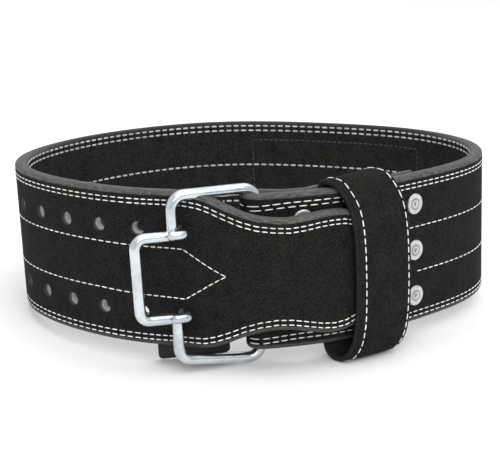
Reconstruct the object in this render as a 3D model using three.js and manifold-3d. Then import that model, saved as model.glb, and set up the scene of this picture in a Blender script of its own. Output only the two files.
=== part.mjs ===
import Module from 'manifold-3d';
import * as THREE from 'three';
import { ConvexHull } from 'three/addons/math/ConvexHull.js';
import { mergeVertices } from 'three/addons/utils/BufferGeometryUtils.js';

// A double prong weightlifting belt, buckled into a ring and standing on its lower edge.
// Sizes are in millimetres. Places on the strap are given as a length s along it, counted from
// the fold at the buckle, an offset outwards from its middle, and a height from its lower edge.

// Leather strap
const strapWidth = 101.6;
const strapThickness = 8.8;
const edgeRounding = 1.6;
const stationStep = 9;

// Ring that the buckled strap makes, with its left end of the turn lying a little higher
const loopHalfWidth = 165;
const loopHalfDepth = 133;
const foldAcross = -5;
const climb = 3.9;
const lean = -0.0256;
const loopRoute = [
  { across: -0.003, along: -1.184 },
  { across: 0.353, along: -1.088 },
  { across: 0.669, along: -0.77 },
  { across: 0.988, along: -0.427 },
  { across: 1.057, along: 0.066 },
  { across: 0.816, along: 0.523 },
  { across: 0.371, along: 0.745 },
  { across: -0.08, along: 0.872 },
  { across: -0.475, along: 0.688 },
  { across: -0.809, along: 0.325 },
  { across: -0.998, along: -0.146 },
  { across: -0.958, along: -0.573 },
  { across: -0.699, along: -0.936 },
  { across: -0.366, along: -1.185 },
];

// Tongue, the free end that passes over the fold and through the keeper
const tongueReach = 97;
const tongueLength = 133;
const liftRun = 50;
const liftAtFold = 6;
const liftAtKeeper = 1;
const tongueShape = [
  { along: 0, top: 0, bottom: 0 },
  { along: 0.045, top: 0.009, bottom: 0.008 },
  { along: 0.09, top: 0.024, bottom: 0.025 },
  { along: 0.14, top: 0.048, bottom: 0.05 },
  { along: 0.2, top: 0.084, bottom: 0.075 },
  { along: 0.265, top: 0.118, bottom: 0.105 },
  { along: 0.33, top: 0.141, bottom: 0.124 },
  { along: 0.4, top: 0.154, bottom: 0.134 },
  { along: 0.47, top: 0.159, bottom: 0.124 },
  { along: 0.54, top: 0.148, bottom: 0.1 },
  { along: 0.61, top: 0.133, bottom: 0.075 },
  { along: 0.67, top: 0.132, bottom: 0.063 },
  { along: 0.73, top: 0.145, bottom: 0.07 },
  { along: 0.79, top: 0.172, bottom: 0.1 },
  { along: 0.85, top: 0.215, bottom: 0.15 },
  { along: 0.9, top: 0.27, bottom: 0.215 },
  { along: 0.95, top: 0.345, bottom: 0.3 },
  { along: 0.985, top: 0.425, bottom: 0.39 },
  { along: 1, top: 0.485, bottom: 0.47 },
];

// Round holes in pairs, of which the first pair takes the prongs
const holeDiameter = 9.3;
const holePitch = 28;
const holePairs = 7;
const holesBeforeFold = 35.3;
const holeHeights = { upper: 76.7, lower: 21.8 };

// Fold round the buckle's back bar, and the flap that is riveted behind the strap
const foldAt = 11;
const foldThickness = 7;
const foldSteps = 10;
const skiveRun = 26;
const flapThickness = 5;
const flapEnd = 135;

// Rivets in two columns of three
const rivetColumns = { fold: 38.8, rear: 126 };
const rivetMiddleHeight = 50.1;
const rivetPitch = 31.8;
const rivetHeadRadius = 7;
const rivetHeadHeight = 1.7;
const rivetShankRadius = 2.5;
const rivetBurrRadius = 5.6;
const rivetBurrHeight = 1.1;
const rivetSides = 20;

// Keeper loop
const keeperStart = 65;
const keeperWidth = 45;
const keeperThickness = 3.5;
const keeperBow = 2.6;
const keeperDrop = 12;
const keeperSkew = 0.3;
const keeperSteps = 4;
const keeperShape = [
  { out: 0, up: 0.5 },
  { out: 0, up: 0.8 },
  { out: 0, up: 0.93 },
  { out: 0.002, up: 0.968 },
  { out: 0.045, up: 0.994 },
  { out: 0.16, up: 1 },
  { out: 0.36, up: 1 },
  { out: 0.62, up: 0.985 },
  { out: 0.84, up: 0.938 },
  { out: 0.945, up: 0.85 },
  { out: 0.985, up: 0.72 },
  { out: 1, up: 0.55 },
  { out: 0.995, up: 0.38 },
  { out: 0.95, up: 0.21 },
  { out: 0.82, up: 0.085 },
  { out: 0.58, up: 0.012 },
  { out: 0.32, up: 0 },
  { out: 0.1, up: 0.03 },
  { out: 0.01, up: 0.11 },
  { out: 0, up: 0.25 },
];

// Buckle frame, one closed wire with a step on each side of its middle
const wireDiameter = 6.8;
const frameSlope = 22;
const frameReach = 57;
const frameStep = 24.5;
const frameTop = 104.2;
const frameBottom = { atFold: -8.4, atReach: -4.6 };
const frameCorner = 9;
const stepHeights = { upper: 76.9, lower: 23.6 };
const stepCorner = 6.5;
const stepBend = 4.2;
const wireSides = 10;
const bendSteps = 4;

// Prongs
const prongDiameter = 6.4;
const prongEyeStart = 165;
const prongElbow = 5;
const prongPast = 5.5;
const prongBehind = 7;

// Guard flap behind the buckle
const guardThickness = 2.2;
const guardLength = 47;
const guardHeights = { low: -7.6, high: 103 };
const guardDroop = 2.4;
const guardNeck = { low: 29, high: 71 };
const guardNeckLength = 30;
const guardNeckEnd = 52;
const guardRounding = 3;

// Gap between pieces that touch
const gap = 0.35;
const wireGap = 0.5;

// Colours and finishes
const suede = { color: 0x1c1b1a, roughness: 0.95, metalness: 0 };
const thinLeather = { color: 0x171616, roughness: 0.8, metalness: 0 };
const zinc = { color: 0xc9ced2, roughness: 0.28, metalness: 1 };
const rivetMetal = { color: 0xb4b6b8, roughness: 0.38, metalness: 1 };

const wasm = await Module();
wasm.setup();

// Numbers and curves
const wireRadius = wireDiameter / 2;
const prongRadius = prongDiameter / 2;
const halfThickness = strapThickness / 2;

function ease(share) {
  const t = THREE.MathUtils.clamp(share, 0, 1);
  return t * t * (3 - 2 * t);
}

// Route of the strap's middle seen from above, a closed cubic spline measured along its length
function loopPoints(perSpan) {
  const corners = loopRoute.map((row) => {
    return new THREE.Vector2(row.across * loopHalfWidth, row.along * loopHalfDepth);
  });
  const points = [];
  corners.forEach((corner, i) => {
    const near = [0, 1, 2, 3].map((k) => corners[(i + k) % corners.length]);
    for (let step = 0; step < perSpan; step += 1) {
      const t = step / perSpan;
      const weights = [
        (1 - t) ** 3 / 6,
        (3 * t ** 3 - 6 * t ** 2 + 4) / 6,
        (-3 * t ** 3 + 3 * t ** 2 + 3 * t + 1) / 6,
        t ** 3 / 6,
      ];
      const point = new THREE.Vector2();
      near.forEach((p, k) => point.addScaledVector(p, weights[k]));
      points.push(point);
    }
  });
  const first = points.findIndex((point, i) => {
    const after = points[(i + 1) % points.length];
    return point.y < 0 && point.x <= foldAcross && after.x > foldAcross;
  });
  return [...points.slice(first), ...points.slice(0, first)];
}

const route = loopPoints(120);
const routeLengths = [0];
route.forEach((point, i) => {
  routeLengths.push(routeLengths[i] + point.distanceTo(route[(i + 1) % route.length]));
});
const loopLength = routeLengths[route.length];

function onRoute(s) {
  const length = THREE.MathUtils.euclideanModulo(s, loopLength);
  let low = 0;
  let high = route.length;
  while (high - low > 1) {
    const middle = (low + high) >> 1;
    if (routeLengths[middle] <= length) low = middle;
    else high = middle;
  }
  const part = (length - routeLengths[low]) / (routeLengths[low + 1] - routeLengths[low]);
  return route[low].clone().lerp(route[(low + 1) % route.length], part);
}

function outwardAt(s) {
  const along = onRoute(s + 1).sub(onRoute(s - 1)).normalize();
  return new THREE.Vector2(along.y, -along.x);
}

function rise(s) {
  return climb * (s / loopLength - 0.5);
}

function raised(plan, height) {
  return new THREE.Vector3(plan.x + lean * (height - strapWidth / 2), plan.y, height);
}

function place(s, offset, height) {
  return raised(onRoute(s).addScaledVector(outwardAt(s), offset), height + rise(s));
}

// How far outwards the tongue lies over the strap
function tongueLift(s) {
  const up = ease((s - (loopLength - liftRun)) / (liftRun + foldAt));
  const down = ease((s - loopLength - foldAt) / (keeperStart - foldAt));
  const clear = THREE.MathUtils.lerp(liftAtFold, liftAtKeeper, down);
  return up * (strapThickness + clear);
}

// Closed meshes
function loft(rings, closed) {
  const sides = rings[0].length;
  const positions = rings.flat().flatMap((point) => [point.x, point.y, point.z]);
  const indices = [];
  const spans = closed ? rings.length : rings.length - 1;
  for (let i = 0; i < spans; i += 1) {
    const here = i * sides;
    const there = ((i + 1) % rings.length) * sides;
    for (let k = 0; k < sides; k += 1) {
      const next = (k + 1) % sides;
      indices.push(here + k, here + next, there + next);
      indices.push(here + k, there + next, there + k);
    }
  }
  if (!closed) {
    const last = (rings.length - 1) * sides;
    for (let k = 1; k < sides - 1; k += 1) {
      indices.push(0, k + 1, k);
      indices.push(last, last + k, last + k + 1);
    }
  }
  const geometry = new THREE.BufferGeometry();
  geometry.setAttribute('position', new THREE.Float32BufferAttribute(positions, 3));
  geometry.setIndex(indices);
  return facingOut(geometry);
}

function moments(geometry) {
  const flat = geometry.index ? geometry.toNonIndexed() : geometry;
  const position = flat.attributes.position;
  const [a, b, c] = [0, 1, 2].map(() => new THREE.Vector3());
  const weighted = new THREE.Vector3();
  let volume = 0;
  for (let i = 0; i < position.count; i += 3) {
    a.fromBufferAttribute(position, i);
    b.fromBufferAttribute(position, i + 1);
    c.fromBufferAttribute(position, i + 2);
    const wedge = a.dot(b.clone().cross(c)) / 6;
    volume += wedge;
    weighted.addScaledVector(a.add(b).add(c), wedge / 4);
  }
  return { volume, weighted };
}

function facingOut(geometry) {
  if (moments(geometry).volume < 0) {
    const index = geometry.index.array;
    for (let i = 0; i < index.length; i += 3) {
      [index[i + 1], index[i + 2]] = [index[i + 2], index[i + 1]];
    }
  }
  return geometry;
}

function solidOf(geometry) {
  const bare = geometry.clone();
  bare.deleteAttribute('normal');
  bare.deleteAttribute('uv');
  const merged = mergeVertices(bare, 1e-4);
  return new wasm.Manifold(new wasm.Mesh({
    numProp: 3,
    vertProperties: new Float32Array(merged.attributes.position.array),
    triVerts: new Uint32Array(merged.index.array),
  }));
}

function geometryOf(solid) {
  const mesh = solid.getMesh();
  const geometry = new THREE.BufferGeometry();
  geometry.setAttribute('position', new THREE.BufferAttribute(mesh.vertProperties, 3));
  geometry.setIndex(new THREE.BufferAttribute(mesh.triVerts, 1));
  return geometry;
}

// A path through corners, each rounded by its radius
function roundedPath(corners, closed) {
  const points = [];
  corners.forEach(({ at, radius }, i) => {
    const isEnd = !closed && (i === 0 || i === corners.length - 1);
    if (isEnd || !radius) {
      points.push(at.clone());
      return;
    }
    const before = corners[(i + corners.length - 1) % corners.length].at;
    const after = corners[(i + 1) % corners.length].at;
    const back = before.clone().sub(at).normalize();
    const forth = after.clone().sub(at).normalize();
    const half = back.angleTo(forth) / 2;
    const towards = back.clone().add(forth).normalize();
    const centre = at.clone().addScaledVector(towards, radius / Math.sin(half));
    const arm = at.clone().addScaledVector(back, radius / Math.tan(half)).sub(centre);
    const axis = forth.clone().cross(back).normalize();
    for (let k = 0; k <= bendSteps; k += 1) {
      const turn = (Math.PI - 2 * half) * (k / bendSteps);
      points.push(arm.clone().applyAxisAngle(axis, turn).add(centre));
    }
  });
  return points;
}

// A round wire along a path that lies in a plane with this normal
function wire(path, radius, normal, closed) {
  const rings = path.map((point, i) => {
    const before = closed ? path[(i + path.length - 1) % path.length] : path[Math.max(i - 1, 0)];
    const after = closed ? path[(i + 1) % path.length] : path[Math.min(i + 1, path.length - 1)];
    const side = after.clone().sub(before).normalize().cross(normal);
    return Array.from({ length: wireSides }, (_, k) => {
      const turn = (k + 0.5) / wireSides * 2 * Math.PI;
      return point.clone()
        .addScaledVector(side, radius * Math.cos(turn))
        .addScaledVector(normal, radius * Math.sin(turn));
    });
  });
  return loft(rings, closed);
}

// Section of the strap, a rectangle with its four edges rounded off
function strapSection({ plan, out, s, thickness, low, high }) {
  const half = thickness / 2;
  const cut = Math.min(edgeRounding, thickness / 3, (high - low) / 3);
  const corners = [
    [half - cut, low],
    [half, low + cut],
    [half, high - cut],
    [half - cut, high],
    [cut - half, high],
    [-half, high - cut],
    [-half, low + cut],
    [cut - half, low],
  ];
  return corners.map(([offset, height]) => {
    return raised(plan.clone().addScaledVector(out, offset), height + rise(s));
  });
}

// Middle lines of the keeper's inner and outer runs, and where its inner run starts
const innerLine = -(halfThickness + gap + keeperThickness / 2);
const tongueFace = halfThickness + liftAtKeeper + strapThickness;
const outerLine = tongueFace + gap + keeperThickness / 2 + keeperBow;
const innerStart = keeperStart + keeperSkew * (innerLine - outerLine);

// Fold: its centre is the buckle's back bar
const foldInner = wireRadius + wireGap;
const barOffset = halfThickness - foldThickness - foldInner;
const foldOut = outwardAt(foldAt);
const foldAlong = new THREE.Vector2(-foldOut.y, foldOut.x);
const barPlan = onRoute(foldAt).addScaledVector(foldOut, barOffset);

// How far inwards of the strap's middle the flap's middle lies
function flapDepth(s) {
  const pressed = halfThickness + gap + flapThickness / 2;
  const overKeeper = pressed + keeperThickness + gap;
  const atFold = foldInner + flapThickness / 2 - barOffset;
  const head = rivetHeadRadius;
  const leaving = ease((s - foldAt) / (rivetColumns.fold - head - foldAt));
  const rises = rivetColumns.fold + head;
  const rising = ease((s - rises) / (innerStart - gap - rises));
  const falls = innerStart + keeperWidth + gap;
  const falling = ease((s - falls) / (rivetColumns.rear - head - falls));
  const bulge = (overKeeper - pressed) * (rising - falling);
  return THREE.MathUtils.lerp(atFold, pressed, leaving) + bulge;
}

function strapStations() {
  const stations = [];
  const add = (s, plan, out, thickness, low = 0, high = strapWidth) => {
    stations.push({ s, plan, out, thickness, low, high });
  };
  const flapSteps = Math.ceil((flapEnd - foldAt) / (stationStep / 2));
  for (let k = 0; k < flapSteps; k += 1) {
    const s = THREE.MathUtils.lerp(flapEnd, foldAt, k / flapSteps);
    const inward = outwardAt(s).negate();
    add(s, onRoute(s).addScaledVector(inward, flapDepth(s)), inward, flapThickness);
  }
  for (let k = 0; k <= foldSteps; k += 1) {
    const turn = Math.PI * (1 - k / foldSteps);
    const out = foldOut.clone().multiplyScalar(Math.cos(turn))
      .addScaledVector(foldAlong, -Math.sin(turn));
    const thickness = THREE.MathUtils.lerp(foldThickness, flapThickness, turn / Math.PI);
    add(foldAt, barPlan.clone().addScaledVector(out, foldInner + thickness / 2), out, thickness);
  }
  const tongueEnd = loopLength + tongueReach;
  const tongueStart = tongueEnd - tongueLength;
  const ringSteps = Math.round((tongueStart - foldAt) / stationStep);
  for (let k = 1; k <= ringSteps; k += 1) {
    const s = THREE.MathUtils.lerp(foldAt, tongueStart, k / ringSteps);
    const full = ease((s - foldAt) / skiveRun);
    const thickness = THREE.MathUtils.lerp(foldThickness, strapThickness, full);
    const inset = (strapThickness - thickness) / 2;
    const offset = inset + tongueLift(s);
    add(s, onRoute(s).addScaledVector(outwardAt(s), offset), tongueFacing(s), thickness);
  }
  tongueShape.slice(1).forEach(({ along, top, bottom }) => {
    const s = tongueStart + along * tongueLength;
    const plan = onRoute(s).addScaledVector(outwardAt(s), tongueLift(s));
    const high = strapWidth * (1 - top);
    add(s, plan, tongueFacing(s), strapThickness, strapWidth * bottom, high);
  });
  return stations;
}

// Outward direction square to the strap where it climbs over the fold
function tongueFacing(s) {
  const here = onRoute(s - 1).addScaledVector(outwardAt(s - 1), tongueLift(s - 1));
  const there = onRoute(s + 1).addScaledVector(outwardAt(s + 1), tongueLift(s + 1));
  const along = there.sub(here).normalize();
  return new THREE.Vector2(along.y, -along.x);
}

// A round cutter across the strap
function punch(s, offset, height, radius, length, out) {
  const cutter = new THREE.CylinderGeometry(radius, radius, length, 16);
  const turn = new THREE.Quaternion().setFromUnitVectors(
    new THREE.Vector3(0, 1, 0),
    new THREE.Vector3(out.x, out.y, 0),
  );
  cutter.applyQuaternion(turn);
  const middle = place(s, offset, height);
  cutter.translate(middle.x, middle.y, middle.z);
  return solidOf(cutter);
}

// Plane of the buckle frame: d runs from the back bar to the left, o stands out of the plane
const slope = THREE.MathUtils.degToRad(frameSlope);
const frameLeft = new THREE.Vector2(-Math.cos(slope), -Math.sin(slope));
const frameOut = new THREE.Vector2(Math.sin(slope), -Math.cos(slope));

function onFrame(d, o, height) {
  const plan = barPlan.clone().addScaledVector(frameLeft, d).addScaledVector(frameOut, o);
  return raised(plan, height);
}

function frameWire(radius) {
  const far = frameReach + frameStep;
  const corner = (d, height, bend) => ({ at: onFrame(d, 0, height), radius: bend });
  const corners = [
    corner(0, frameBottom.atFold, frameCorner),
    corner(0, frameTop, frameCorner),
    corner(frameReach, frameTop, frameCorner),
    corner(frameReach, stepHeights.upper, stepBend),
    corner(far, stepHeights.upper, stepCorner),
    corner(far, stepHeights.lower, stepCorner),
    corner(frameReach, stepHeights.lower, stepBend),
    corner(frameReach, frameBottom.atReach, frameCorner),
  ];
  const upright = new THREE.Vector3(lean, 0, 1);
  const level = new THREE.Vector3(frameLeft.x, frameLeft.y, 0);
  const normal = level.cross(upright).normalize();
  return wire(roundedPath(corners, true), radius, normal, true);
}

// A prong: an open eye round the back bar, out through its hole and over the frame's step corner
function prongWire(height, radius) {
  const eye = wireRadius + wireGap + prongRadius;
  const up = new THREE.Vector3(0, 0, 1);
  const points = [];
  const eyeSteps = 16;
  for (let k = 0; k <= eyeSteps; k += 1) {
    const turn = THREE.MathUtils.degToRad(THREE.MathUtils.lerp(prongEyeStart, -90, k / eyeSteps));
    const plan = barPlan.clone()
      .addScaledVector(foldAlong, eye * Math.cos(turn))
      .addScaledVector(foldOut, -eye * Math.sin(turn));
    points.push(raised(plan, height));
  }
  const clear = wireRadius + prongRadius + gap;
  const s = loopLength - holesBeforeFold;
  const through = raised(onRoute(s).addScaledVector(outwardAt(s), tongueLift(s)), height);
  const outer = onFrame(frameReach - clear, clear, height);
  const inward = through.clone().sub(outer).normalize();
  const inner = through.clone().addScaledVector(inward, prongBehind);
  const tip = onFrame(frameReach + prongPast, clear, height);
  const rest = roundedPath([
    { at: points[points.length - 1] },
    { at: inner, radius: prongElbow },
    { at: outer, radius: prongElbow },
    { at: tip },
  ], false);
  return wire([...points, ...rest.slice(1)], radius, up, false);
}

const prongHeights = {
  upper: holeHeights.upper + rise(loopLength - holesBeforeFold),
  lower: holeHeights.lower + rise(loopLength - holesBeforeFold),
};

function strapGeometry() {
  const cuts = [];
  for (let k = 0; k < holePairs; k += 1) {
    const s = loopLength - holesBeforeFold - k * holePitch;
    Object.values(holeHeights).forEach((height) => {
      const length = strapThickness * 2;
      cuts.push(punch(s, tongueLift(s), height, holeDiameter / 2, length, tongueFacing(s)));
    });
  }
  eachRivet((name, s, height) => {
    const offset = -(halfThickness + flapDepth(s) + flapThickness / 2) / 2 + halfThickness;
    const length = strapThickness * 1.2 + flapThickness * 1.4;
    cuts.push(punch(s, offset, height, rivetShankRadius + gap, length, outwardAt(s)));
  });
  Object.values(prongHeights).forEach((height) => {
    const slotHeight = prongDiameter + 2 * wireGap;
    const reach = foldInner + prongDiameter + 2 * wireGap;
    const slot = new THREE.BoxGeometry(2 * reach, 2 * reach, slotHeight);
    slot.rotateZ(foldAlong.angle());
    const middle = raised(barPlan, height);
    slot.translate(middle.x, middle.y, middle.z);
    cuts.push(solidOf(slot));
    cuts.push(solidOf(prongWire(height, prongRadius + gap)));
  });
  cuts.push(solidOf(frameWire(wireRadius + gap)));
  const body = solidOf(loft(strapStations().map(strapSection), false));
  return geometryOf(cuts.reduce((solid, cutter) => solid.subtract(cutter), body));
}

// Rivets: a ringed head outside, a shank through both leathers and a burr behind
function eachRivet(act) {
  Object.entries(rivetColumns).forEach(([column, s]) => {
    [['top', 1], ['middle', 0], ['bottom', -1]].forEach(([row, step]) => {
      act(`rivet_${column}_${row}`, s, rivetMiddleHeight + step * rivetPitch);
    });
  });
}

function rivetGeometry(s, holdsGuard) {
  const seat = halfThickness + gap;
  const behind = holdsGuard ? guardThickness + 3 * gap : 0;
  const back = flapDepth(s) + flapThickness / 2 + gap + behind;
  const profile = [
    [0, -back - rivetBurrHeight],
    [rivetBurrRadius * 0.8, -back - rivetBurrHeight],
    [rivetBurrRadius, -back - rivetBurrHeight / 2],
    [rivetBurrRadius, -back],
    [rivetShankRadius, -back],
    [rivetShankRadius, seat],
    [rivetHeadRadius, seat],
    [rivetHeadRadius, seat + rivetHeadHeight * 0.45],
    [rivetHeadRadius * 0.86, seat + rivetHeadHeight * 0.9],
    [rivetHeadRadius * 0.5, seat + rivetHeadHeight],
    [rivetHeadRadius * 0.4, seat + rivetHeadHeight * 0.75],
    [0, seat + rivetHeadHeight * 0.75],
  ].map(([radius, height]) => new THREE.Vector2(radius, height));
  const lathe = new THREE.LatheGeometry(profile, rivetSides);
  lathe.deleteAttribute('normal');
  lathe.deleteAttribute('uv');
  return facingOut(mergeVertices(lathe, 1e-4));
}

// Keeper: one band round the strap and the tongue, its inner run held between strap and flap
function keeperGeometry() {
  const topLine = strapWidth + gap + keeperThickness / 2;
  const bottomLine = -keeperDrop;
  const spots = keeperShape.map(({ out, up }) => new THREE.Vector3(
    THREE.MathUtils.lerp(innerLine, outerLine, out),
    THREE.MathUtils.lerp(bottomLine, topLine, up),
    0,
  ));
  const curve = new THREE.CatmullRomCurve3(spots, true, 'centripetal');
  const turns = 52;
  const rings = Array.from({ length: turns }, (_, i) => {
    const middle = curve.getPointAt(i / turns);
    const along = curve.getTangentAt(i / turns);
    const side = new THREE.Vector2(along.y, -along.x);
    const ring = [];
    [1, -1].forEach((face) => {
      for (let k = 0; k <= keeperSteps; k += 1) {
        const share = face > 0 ? k / keeperSteps : 1 - k / keeperSteps;
        const offset = middle.x + face * side.x * keeperThickness / 2;
        const height = middle.y + face * side.y * keeperThickness / 2;
        const s = keeperStart + share * keeperWidth + keeperSkew * (middle.x - outerLine);
        ring.push(place(s, offset, height));
      }
    });
    return ring;
  });
  return loft(rings, true);
}

// Guard flap: a neck under the middle rivet of the fold, and a flat flap behind the buckle
function guardGeometry() {
  const behindFlap = (s) => flapDepth(s) + flapThickness / 2 + gap + guardThickness / 2;
  const start = onRoute(foldAt).addScaledVector(foldOut, -behindFlap(foldAt) - gap);
  const endAt = loopLength - guardLength - guardNeckLength + foldAt;
  const endDepth = halfThickness + gap + guardThickness / 2;
  const finish = onRoute(endAt).addScaledVector(outwardAt(endAt), -endDepth);
  const leftwards = finish.clone().sub(start);
  const total = leftwards.length();
  leftwards.normalize();
  const facing = new THREE.Vector2(leftwards.y, -leftwards.x);
  const rings = [];
  const add = (plan, inward, low, high) => {
    const half = inward.clone().multiplyScalar(guardThickness / 2);
    rings.push([
      raised(plan.clone().add(half), low),
      raised(plan.clone().add(half), high),
      raised(plan.clone().sub(half), high),
      raised(plan.clone().sub(half), low),
    ]);
  };
  const base = rise(foldAt);
  const neckRun = [1, 0.75, 0.5, 0.25].map((share) => {
    return THREE.MathUtils.lerp(foldAt, guardNeckEnd, share);
  });
  neckRun.forEach((s) => {
    const inward = outwardAt(s).negate();
    const plan = onRoute(s).addScaledVector(inward, behindFlap(s));
    add(plan, inward, guardNeck.low + base, guardNeck.high + base);
  });
  const wide = total - guardLength;
  const droop = (along) => -guardDroop * Math.max(along - wide, 0) / guardLength;
  const onLine = (along, low, high) => {
    const plan = start.clone().addScaledVector(leftwards, along);
    add(plan, facing, low + base + droop(along), high + base + droop(along));
  };
  onLine(0, guardNeck.low, guardNeck.high);
  onLine(wide, guardNeck.low, guardNeck.high);
  const round = guardRounding;
  onLine(wide + 0.2, guardHeights.low + round, guardHeights.high - round);
  onLine(wide + round, guardHeights.low, guardHeights.high);
  onLine(total - round / 2, guardHeights.low, guardHeights.high);
  onLine(total, guardHeights.low + round / 2, guardHeights.high - round / 2);
  return loft(rings, false);
}

// The guard's neck has a bore for the rivet that holds it
function boredGuard() {
  const height = rivetMiddleHeight;
  const s = rivetColumns.fold;
  const bore = punch(s, -flapDepth(s), height, rivetShankRadius + gap, strapThickness * 3, outwardAt(s));
  return geometryOf(solidOf(guardGeometry()).subtract(bore));
}

// Assembly
const pieces = new THREE.Group();

function addPiece(name, geometry, finish) {
  const mesh = new THREE.Mesh(geometry, new THREE.MeshStandardMaterial(finish));
  mesh.name = name;
  pieces.add(mesh);
  return mesh;
}

addPiece('strap', strapGeometry(), suede);
addPiece('keeper_loop', keeperGeometry(), suede);
addPiece('guard_flap', boredGuard(), thinLeather);
addPiece('buckle_frame', frameWire(wireRadius), zinc);
addPiece('prong_upper', prongWire(prongHeights.upper, prongRadius), zinc);
addPiece('prong_lower', prongWire(prongHeights.lower, prongRadius), zinc);
eachRivet((name, s, height) => {
  const holdsGuard = s === rivetColumns.fold && height === rivetMiddleHeight;
  const rivet = addPiece(name, rivetGeometry(s, holdsGuard), rivetMetal);
  const out = outwardAt(s);
  rivet.quaternion.setFromUnitVectors(
    new THREE.Vector3(0, 1, 0),
    new THREE.Vector3(out.x, out.y, 0),
  );
  rivet.position.copy(place(s, 0, height));
});

// Rest: the belt stands on the lowest points that its weight lies between
function settle(group) {
  group.updateMatrixWorld(true);
  const points = [];
  const weighted = new THREE.Vector3();
  let volume = 0;
  group.children.forEach((mesh) => {
    const placed = mesh.geometry.clone().applyMatrix4(mesh.matrixWorld);
    const share = moments(placed);
    volume += share.volume;
    weighted.add(share.weighted);
    const position = placed.attributes.position;
    for (let i = 0; i < position.count; i += 1) {
      points.push(new THREE.Vector3().fromBufferAttribute(position, i));
    }
  });
  const middle = weighted.divideScalar(volume);
  const down = new THREE.Ray(middle, new THREE.Vector3(0, 0, -1));
  const hull = new ConvexHull().setFromPoints(points);
  const under = hull.faces.find((face) => {
    const edge = face.edge;
    const corners = [edge.prev.vertex.point, edge.vertex.point, edge.next.vertex.point];
    return face.normal.z < 0 && down.intersectTriangle(...corners, false, new THREE.Vector3());
  });
  group.quaternion.setFromUnitVectors(under.normal.clone().normalize(), new THREE.Vector3(0, 0, -1));
  const box = new THREE.Box3().setFromObject(group, true);
  group.position.set(-(box.min.x + box.max.x) / 2, -(box.min.y + box.max.y) / 2, -box.min.z);
}

settle(pieces);

const belt = new THREE.Group();
belt.add(pieces);

export default belt;
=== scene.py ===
import math

import bmesh
import bpy
import numpy as np
from mathutils import Matrix, Quaternion, Vector


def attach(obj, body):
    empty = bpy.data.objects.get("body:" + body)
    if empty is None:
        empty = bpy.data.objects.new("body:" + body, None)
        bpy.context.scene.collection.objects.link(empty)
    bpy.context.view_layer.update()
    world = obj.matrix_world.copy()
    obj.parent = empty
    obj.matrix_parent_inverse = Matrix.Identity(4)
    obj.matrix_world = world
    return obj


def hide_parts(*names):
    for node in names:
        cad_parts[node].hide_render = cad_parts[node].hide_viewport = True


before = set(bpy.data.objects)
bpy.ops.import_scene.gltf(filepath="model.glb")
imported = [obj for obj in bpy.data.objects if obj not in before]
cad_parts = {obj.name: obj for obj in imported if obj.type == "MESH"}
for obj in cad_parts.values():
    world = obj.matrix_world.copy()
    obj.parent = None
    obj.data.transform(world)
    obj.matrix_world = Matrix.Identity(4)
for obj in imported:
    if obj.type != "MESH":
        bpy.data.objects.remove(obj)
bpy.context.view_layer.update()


# Strap: a four inch leather strap in two suede faces glued to a core, cut flat, punched and
# burnished along its edges, then folded round the buckle's back bar and bent into a ring.
# It is modelled flat as (along, outwards, up) in millimetres and then bent to its run.
STRAP_WIDTH = 101.6
STRAP_THICKNESS = 8.8
LOOP_HALF_WIDTH = 165
LOOP_HALF_DEPTH = 133
FOLD_ACROSS = -5
CLIMB = 3.9
LEAN = -0.0256
LOOP_ROUTE = [
    (-0.003, -1.184), (0.353, -1.088), (0.669, -0.77), (0.988, -0.427), (1.057, 0.066),
    (0.816, 0.523), (0.371, 0.745), (-0.08, 0.872), (-0.475, 0.688), (-0.809, 0.325),
    (-0.998, -0.146), (-0.958, -0.573), (-0.699, -0.936), (-0.366, -1.185),
]
TONGUE_REACH = 97
TONGUE_LENGTH = 133
LIFT_RUN = 50
LIFT_AT_FOLD = 6
LIFT_AT_KEEPER = 1
TONGUE_SHAPE = np.array([
    (0, 0, 0), (0.045, 0.004, 0), (0.09, 0.013, 0.003), (0.14, 0.035, 0.022),
    (0.2, 0.073, 0.056), (0.265, 0.112, 0.098), (0.33, 0.141, 0.124), (0.4, 0.158, 0.134),
    (0.47, 0.168, 0.124), (0.54, 0.163, 0.1), (0.61, 0.152, 0.075), (0.67, 0.149, 0.063),
    (0.73, 0.152, 0.07), (0.79, 0.172, 0.1), (0.85, 0.215, 0.15), (0.9, 0.27, 0.215),
    (0.95, 0.345, 0.3), (0.985, 0.425, 0.39), (1, 0.485, 0.47),
])
HOLE_DIAMETER = 8.7
HOLE_PITCH = 28
HOLE_PAIRS = 7
HOLES_BEFORE_FOLD = 36.5
HOLE_HEIGHTS = (76.7, 21.8)
FOLD_AT = 11
FOLD_THICKNESS = 7
SKIVE_RUN = 26
FLAP_THICKNESS = 5
FLAP_END = 135
REST_TURN = math.radians(3.3)
REST_AXIS = (-0.8823, -0.4706, 0)
REST_SHIFT = (-2.327, 30.842, 6.363)

# What the fold and the flap are shaped by: the back bar, the rivets and the keeper's inner run
WIRE_RADIUS = 3.4
WIRE_GAP = 0.5
GAP = 0.35
RIVET_COLUMNS = {"fold": 38.8, "rear": 126}
RIVET_HEAD_RADIUS = 7
KEEPER_START = 65.6
KEEPER_WIDTH = 40.8
KEEPER_THICKNESS = 3.5
KEEPER_BOW = 2.6
KEEPER_SKEW = 0.45

HALF = STRAP_THICKNESS / 2


def ease(share):
    """Rises softly from 0 to 1."""
    t = np.clip(share, 0, 1)
    return t * t * (3 - 2 * t)


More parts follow.
